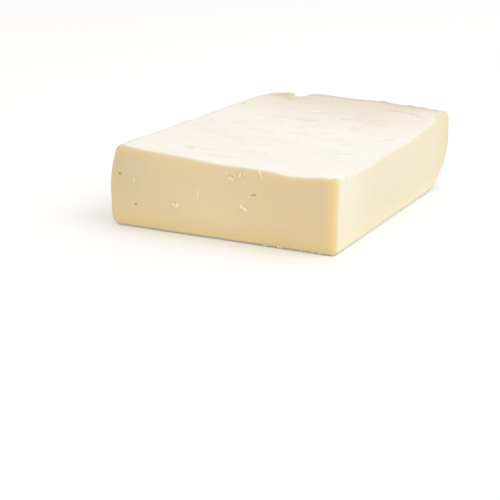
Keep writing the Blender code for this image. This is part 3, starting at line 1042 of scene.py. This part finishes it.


# %% [markdown]
# ## The paste
#
# Havarti paste is warm ivory and a little see-through, so light that enters one face leaks out near
# the edge of the next. That is subsurface scattering, and it is what tells cheese from plaster. The
# front cut was made first and faces the dim side of the room. It is painted a deeper, warmer ivory
# than the right cut, deepest over its right half: partly drying, partly painted shade. Just under
# the rind it is painted yellower, partly drying and partly a painted glow of light that comes in
# through the top. Along the near edge both cuts are painted a deeper yellow, a painted glow of the
# light that leaks through the corner. The front cut is painted darker and greyer towards the left,
# which is painted shade. The right cut is fresh and paler, with painted shade towards the back. Both
# cuts are painted warmer along the bottom, a painted warm light bounced up from below.

# %% Colours of the paste
OLD_SHADED_PASTE = (0.865, 0.742, 0.495)
RIGHT_PASTE = (0.805, 0.672, 0.430)
LEFT_SHADED_PASTE = (0.735, 0.630, 0.415)
SHADED_PASTE = (0.670, 0.560, 0.360)
DEEP_YELLOW_PASTE = (0.860, 0.690, 0.320)
NEAR_EDGE_GLOW = (0.885, 0.712, 0.342)
FRESH_PASTE = (0.828, 0.775, 0.615)
FAR_SHADED_PASTE = (0.775, 0.690, 0.520)
CORNER_GLOW = (0.710, 0.610, 0.310)
FOOT_BOUNCE_PASTE = (0.950, 0.800, 0.500)
EYE_WALL_SHADE = (0.800, 0.550, 0.225)
EYE_LIP = (0.980, 0.780, 0.400)
PIT_WALL_SHADE = (0.720, 0.505, 0.235)
PIT_LIP = (0.860, 0.700, 0.400)
TURNING_SHADE = (0.740, 0.680, 0.540)
BACK_PASTE = (0.750, 0.615, 0.325)
TORN_PASTE = (0.770, 0.705, 0.570)
TORN_SHADE = (0.600, 0.520, 0.390)

# %% [markdown]
# The masks come first. Each rises from 0 to 1 between two values. Places are in metres, depths in
# millimetres, and which way a face turns is a part of its normal. Taking a mask from 1 turns it round.

# %% Masks of the paste
cheese, shader = new_material("cheese")
under_rind, inside_cut, beside = stored("under_rind"), stored("inside_cut"), stored("beside")
chip, hollow = stored("chip"), stored("hollow")
facing_x, facing_y, facing_z = parts_of(Wire.node("ShaderNodeNewGeometry", {}, {}, "Normal"))
place_x, place_y, place_z = parts_of(Wire.node("ShaderNodeTexCoord", {}, {}, "Object"))
mottling = stretched_noise((0.011, 0.011, 0.009), 3.0)
drag_lines = stretched_noise((0.0013, 0.0013, 0.016), 2.0)
crumbly = stretched_noise((0.0017, 0.0017, 0.0017), 3.0, seed=7.0)

at = steps(
    right_edge=(place_x, RIGHT - 0.0035, RIGHT - 0.0015),
    near_edge=(place_x, RIGHT - 0.0088, RIGHT - 0.0012),
    smeared_across=(place_x, RIGHT - 0.0080, RIGHT - 0.0060),
    smeared_along=(place_y, FRONT + SMEAR_START - 0.004, FRONT + SMEAR_START),
    facing_right=(facing_x, 0.45, 1.0),
    facing_up=(facing_z, 0.15, 0.5),
    fresh_depth=(under_rind, 1.5, 6.0),
    bottom=(place_z, 0.0, 0.011),
    off_left=(place_x, LEFT - 0.004, LEFT + 0.050),
    right_half=(place_x, -0.005, RIGHT - 0.008),
    upper=(place_z, 0.010, 0.027),
    middle=(place_x, -0.040, -0.012),
    off_foot=(place_z, 0.003, 0.022),
    off_left_foot=(place_x, -0.035, 0.005),
    far=(place_y, FRONT + 0.005, FRONT + 0.060),
    off_corner=(place_y, FRONT + 0.0005, FRONT + 0.0055),
    by_back=(place_y, BACK - 0.028, BACK - 0.006),
    mottled=(mottling, 0.45, 0.8),
    dragged=(drag_lines, 0.5, 0.8),
    crumbled=(crumbly, 0.40, 0.62),
    right_eyes=(place_x, -0.020, -0.010),
    lip=(hollow, 0.16, 0.26),
    wall=(hollow, 0.26, 0.60),
)
smeared = at.smeared_along * at.smeared_across
facing_right = more(at.facing_right, smeared)
turning = at.facing_up * more(at.right_edge, smeared)
bottom_zone = 1 - at.bottom

# %% [markdown]
# Then the colours are laid like coats of paint. A coat has a colour, a mask and how strongly it covers.

# %% Lay the paste's colours
# Front cut: partly drying, partly painted shade, as it faces the dim side of the room
front_cut_paste = layered(
    # Painted shade: darker and greyer towards the left
    blend(LEFT_SHADED_PASTE, OLD_SHADED_PASTE, at.off_left),
    (RIGHT_PASTE, at.right_half, 0.9),
    (SHADED_PASTE, at.upper * at.middle, 0.18),
    # Less of that painted shade low on the left
    (OLD_SHADED_PASTE, (1 - at.off_foot) * (1 - at.off_left_foot), 0.45),
    # Yellower just under the rind: partly drying, partly painted glow
    (DEEP_YELLOW_PASTE, (1 - at.fresh_depth) * (1 - beside), 0.45),
    # Painted glow along the near edge, of light that leaks through the corner
    (NEAR_EDGE_GLOW, at.near_edge, 0.8),
    # Painted warm light bounced up along the bottom
    (DEEP_YELLOW_PASTE, bottom_zone, 0.5),
)
right_cut_paste = layered(
    # Painted shade: darker towards the back
    blend(FRESH_PASTE, FAR_SHADED_PASTE, at.far),
    # Painted warm light bounced up along the bottom
    (FOOT_BOUNCE_PASTE, bottom_zone, 0.5),
    # Painted glow by the near corner
    (CORNER_GLOW, 1 - at.off_corner, 0.8),
    (BACK_PASTE, at.by_back, 0.5),
)
paste = layered(
    blend(front_cut_paste, right_cut_paste, facing_right),
    (DEEP_YELLOW_PASTE, at.mottled, 0.14),
    (FRESH_PASTE, at.dragged, 0.14),
    # Painted shade on the rounded top edge of the right cut, which the lamp lights
    (TURNING_SHADE, turning, 0.6),
    (blend(TORN_PASTE, TORN_SHADE, at.crumbled * 0.7), chip, 0.85),
    # Eyes and pits: painted shade deep inside, with a warmer ring on their slopes
    (blend(PIT_LIP, EYE_LIP, at.right_eyes), at.lip, 1.0),
    (blend(PIT_WALL_SHADE, EYE_WALL_SHADE, at.right_eyes), at.wall, 1.0),
)

# %% [markdown]
# ## The rind
#
# The rind has dried to almost white. Its wrinkles, creases and dents are tinted a greyish tan, partly
# their own tint and partly painted shade in the grooves, and low ridges beside some creases are
# painted pale, a painted highlight. The broad shoulder that rises to the back rim, and the rim itself,
# are painted tan as painted shade, for that rise faces away from the bright side of the room. Where
# the rind turns over to the back and to the left, it is painted an uneven darker line. Its sides are
# as pale as the top, with tan wrinkles of their own. Where the knife went through it, the rind is a
# pale line that fades into the paste over three millimetres, and a thin dark one beside the sides.

# %% Colours of the rind
RIND = (0.855, 0.830, 0.762)
PALE = (0.930, 0.915, 0.870)
BEIGE = (0.800, 0.738, 0.640)
SHOULDER_SHADE = (0.720, 0.626, 0.495)
RIM_TAN_SHADE = (0.690, 0.575, 0.430)
TAN = (0.640, 0.555, 0.440)
RIM_LINE = (0.545, 0.490, 0.415)
LEFT_LINE = (0.660, 0.642, 0.580)
CUT_RIND = (0.620, 0.560, 0.455)
SIDE_RIND = (0.800, 0.762, 0.680)
SIDE_SHADE = (0.715, 0.650, 0.540)
RIND_LINE = (0.800, 0.765, 0.665)
SIDE_LINE = (0.480, 0.430, 0.330)

# %% Masks of the rind
from_back, from_left = stored("from_back"), stored("from_left")
mark, furrow = stored("mark"), stored("furrow")
cloudy = stretched_noise((0.045, 0.030, 0.030), 2.0, seed=3.0)
streaks = stretched_noise((0.020, 0.0030, 0.0030), 3.0, seed=1.0)
blotches = stretched_noise((0.011, 0.008, 0.010), 3.0, seed=9.0)
upwards = facing_z - step_up(facing_y, 0.1, 0.3) * 0.12

on = steps(
    off_rim=(from_back + cloudy * 5.0, 13.0, 20.0),
    off_shoulder=(from_back, 8.0, 68.0),
    past_rim_line=(from_back + streaks * 1.5 + blotches * 2.4, 11.4, 15.0),
    in_rim_line=(from_back, 4.4, 6.4),
    past_left_line=(from_left + blotches * 1.6, 3.2, 5.0),
    in_left_line=(from_left, 0.2, 1.3),
    blotched=(blotches, 0.36, 0.58),
    off_cut=(inside_cut, 0.3, 2.2),
    handled=(place_x, RIGHT - 0.035, RIGHT - 0.004),
    rubbed_across=(place_x, -0.010, 0.030),
    past_rubbed=(place_y, FRONT + 0.055, FRONT + 0.100),
    past_sheltered_across=(place_x, -0.015, 0.015),
    sheltered_along=(place_y, FRONT + 0.008, FRONT + 0.026),
    past_sheltered=(place_y, FRONT + 0.075, FRONT + 0.110),
    clouded=(cloudy, 0.42, 0.70),
    side_clouded=(cloudy, 0.40, 0.70),
    streaked=(streaks, 0.50, 0.75),
    facing_back=(facing_y - facing_x, 0.15, 0.45),
    facing_down=(0 - facing_z, 0.2, 0.6),
    lying=(upwards, 0.45, 0.85),
    off_knife=(facing_z, 0.15, 0.75),
)
broken = on.blotched * 0.35 + 0.62
rim_line = (1 - on.past_rim_line) * on.in_rim_line
left_line = (1 - on.past_left_line) * on.in_left_line
edge_of_right = at.right_edge * (1 - on.off_cut)
cleaner = on.handled * 0.45
rubbed = on.rubbed_across * (1 - on.past_rubbed)
sheltered = (1 - on.past_sheltered_across) * on.sheltered_along * (1 - on.past_sheltered)
away = more(on.facing_back, on.facing_down)

# %% Lay the rind's colours
rind = layered(
    RIND,
    (BEIGE, on.clouded, 0.35),
    (PALE, more(rubbed * 0.2, cleaner * 0.6), 1.0),
    (BEIGE, sheltered, 0.2),
    # Painted shade on the rise to the back rim
    (SHOULDER_SHADE, (1 - on.off_shoulder) * (0.85 - cleaner), 1.0),
    (BEIGE, on.streaked, 0.35),
    # Painted shade on the back rim
    (RIM_TAN_SHADE, 1 - on.off_rim, 0.6),
    # Wrinkles: partly their own tan, partly painted shade in the grooves
    (TAN, furrow, 0.42),
    # Creases and dents: partly their own tan, partly painted shade
    (TAN, more(mark, 0.0), 0.75),
    # Painted highlight on low raised ridges
    (PALE, more(0.0 - mark, 0.0), 1.0),
    (RIND_LINE, edge_of_right, 0.5),
    (LEFT_LINE, left_line, broken),
    (RIM_LINE, rim_line, broken),
)
side = layered(
    SIDE_RIND,
    (SIDE_SHADE, on.side_clouded, 0.6),
    (BEIGE, on.streaked, 0.35),
    # Partly their own tan, partly painted shade in the grooves
    (TAN, furrow, 0.36),
)
rind = blend(blend(CUT_RIND, rind, on.off_knife), side, (1 - on.lying) * away)

# %% [markdown]
# Dry rind is nearly opaque and paste is not, so they are two shaders. A third node mixes them by how
# much rind there is at a place. If one shader did both, the light that wanders in the paste would blur
# the rind's fine lines.

# %% Join them
# Roughness, how far red, green and blue light wander, and a scale for all three
PASTE_WAX = (0.46, (1.0, 0.72, 0.42), 0.0024)
RIND_WAX = (0.62, (1.0, 0.80, 0.60), 0.0005)

top_line = (1 - step_up(under_rind, -0.4, 3.0)) * (1 - beside)
top_line = top_line * (0.85 - facing_right * 0.35 - smeared * 0.35)
side_line = (1 - step_up(under_rind - facing_right * 0.6, 0.3, 1.4)) * beside
side_foot = (1 - step_up(place_z, 0.002, 0.006)) * facing_right
rind_share = (1 - step_up(under_rind, 0.35, 0.95)) * step_up(inside_cut, -0.2, 0.6)
paste = layered(
    paste,
    (RIND_LINE, top_line, 1.0),
    (SIDE_LINE, side_line * (1 - side_foot * 0.65), 0.8),
)
plug(shader, waxy(paste, *PASTE_WAX))
plug(shader, {"Normal": bump(drag_lines * 0.5 + crumbly * chip * 9.0)})

dry_shader = cheese.node_tree.nodes.new("ShaderNodeBsdfPrincipled")
grain = stretched_noise((0.0009, 0.0007, 0.0009), 4.0, seed=5.0)
plug(dry_shader, waxy(rind, *RIND_WAX))
plug(dry_shader, {"Normal": bump(streaks * 1.8 + grain * 0.6)})

layers = {0: rind_share, 1: Wire(shader.outputs[0]), 2: Wire(dry_shader.outputs[0])}
mixed = Wire.node("ShaderNodeMixShader", {}, layers)
plug(cheese.node_tree.nodes["Material Output"], {"Surface": mixed})
body.data.materials.append(cheese)
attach(body, "root")
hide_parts("cheese_block")
print("cheese nodes:", len(cheese.node_tree.nodes))

# %% [markdown]
# The crumbs are the same paste, painted whiter because they are thin: painted light, for light that
# passes through the thin bits. The flake is dry rind that has yellowed where it tore, with painted
# shade along its raised back hem.

# %% Crumbs and flake
# The crumbs are painted whiter: painted light through thin bits
CRUMB = (1.000, 0.905, 0.700)
CRUMB_SHADE = (0.960, 0.820, 0.560)
FLAKE_BORDER = (0.730, 0.645, 0.520)
FLAKE_TAN = (0.653, 0.520, 0.376)
FLAKE_YELLOW = (0.690, 0.585, 0.365)
FLAKE_HEM_SHADE = (0.485, 0.470, 0.430)
FLAKE_WAX = (0.6, (1.0, 0.60, 0.35), 0.0005)

crumb_paint, crumb_shader = new_material("crumb")
cloud = stretched_noise((0.0016, 0.0016, 0.0016), 2.0)
crumb_colour = blend(CRUMB, CRUMB_SHADE, step_up(cloud, 0.35, 0.75))
plug(crumb_shader, {"Base Color": crumb_colour, "Roughness": 0.5})
crumbs.data.materials.append(crumb_paint)

flake_paint, flake_shader = new_material("loose_rind")
cloud = stretched_noise((0.0035, 0.0035, 0.0035), 2.0, seed=2.0)
along, across = stored("along"), stored("across")
flake_at = steps(
    off_front=(across + cloud * 0.3, 0.10, 0.60),
    torn_end=(along, 0.62, 0.80),
    past_yellow=(across + cloud * 0.2, 0.35, 0.60),
    top_hem=(across, 0.62, 0.78),
    past_hem=(along, 0.80, 0.92),
)
flake_colour = layered(
    FLAKE_BORDER,
    (FLAKE_TAN, flake_at.off_front, 1.0),
    (FLAKE_YELLOW, flake_at.torn_end * (1 - flake_at.past_yellow), 1.0),
    # Painted shade along the raised back hem
    (FLAKE_HEM_SHADE, flake_at.top_hem * (0.8 - flake_at.past_hem * 0.5), 1.0),
)
plug(flake_shader, waxy(flake_colour, *FLAKE_WAX))
flake.data.materials.append(flake_paint)
for piece in (crumbs, flake):
    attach(piece, "root")

# %% [markdown]
# ## Light and floor
#
# The block stands on a pale floor in a bright soft room. A dome of light would do alone, but then every
# side looks alike. So the dome is white behind the block and to its right, and dimmer and warmer in
# front of it, and one large soft lamp high on the right shapes the top.

# %% The room
LIT_SIDE = Vector((0.55, 0.75, 0.35)).normalized()
DIM_END, BRIGHT_START = -0.5, 0.3
BRIGHT = (1.0, 1.0, 1.0)
DIM = (0.78, 0.70, 0.585)
LAMP_PLACE = Vector((0.65, 0.10, 1.0))
LAMP_WIDTH = 0.8
LAMP_WATTS = 3.2
LAMP_TINT = (0.95, 0.975, 1.0)

world = bpy.data.worlds.new("studio")
world.use_nodes = True
scene.world = world
Wire.tree = world.node_tree
direction = Wire.node("ShaderNodeTexCoord", {}, {}, "Generated")
dot_product = {"operation": "DOT_PRODUCT"}
towards = Wire.node("ShaderNodeVectorMath", dot_product, {0: direction, 1: LIT_SIDE}, "Value")
dome = blend(DIM, BRIGHT, step_up(towards, DIM_END, BRIGHT_START))
plug(world.node_tree.nodes["Background"], {"Color": dome, "Strength": 1.0})

lamp = bpy.data.lights.new("soft lamp", "AREA")
lamp.shape = "DISK"
lamp.size = LAMP_WIDTH
lamp.energy = LAMP_WATTS
lamp.color = LAMP_TINT
soft_lamp = bpy.data.objects.new("soft lamp", lamp)
soft_lamp.location = LAMP_PLACE
soft_lamp.rotation_euler = LAMP_PLACE.to_track_quat("Z", "Y").to_euler()
scene.collection.objects.link(soft_lamp)

# %% The floor
FLOOR_DROP = 0.0001
FLOOR_REACH = 6.0
FLOOR_GREY = (0.955, 0.962, 0.978)
FLOOR_WHITE = (0.972, 0.978, 0.990)
FLOOR_CORNERS = ((-1, -1), (1, -1), (1, 1), (-1, 1))

points = [(x * FLOOR_REACH, y * FLOOR_REACH, -FLOOR_DROP) for x, y in FLOOR_CORNERS]
floor = as_object("floor", points, [(0, 1, 2, 3)])
paint, floor_shader = new_material("floor")
cloud = stretched_noise((0.4, 0.4, 0.4), 2.0)
plug(floor_shader, {"Base Color": blend(FLOOR_GREY, FLOOR_WHITE, cloud), "Roughness": 0.9})
floor.data.materials.append(paint)
floor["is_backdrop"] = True
scene.view_settings.view_transform = "Standard"

# %% [markdown]
# ## Sizes, and the end
#
# The dressed block's box is compared with the imported one's, and the change on each side is printed.
# The dressed block may not outgrow the imported one.

# %% Write the sizes
new_low, new_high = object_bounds()
change = (*(new_low - cad_low), *(new_high - cad_high))
print("size change, mm:", [round(TO_MM * float(length), 3) for length in change])
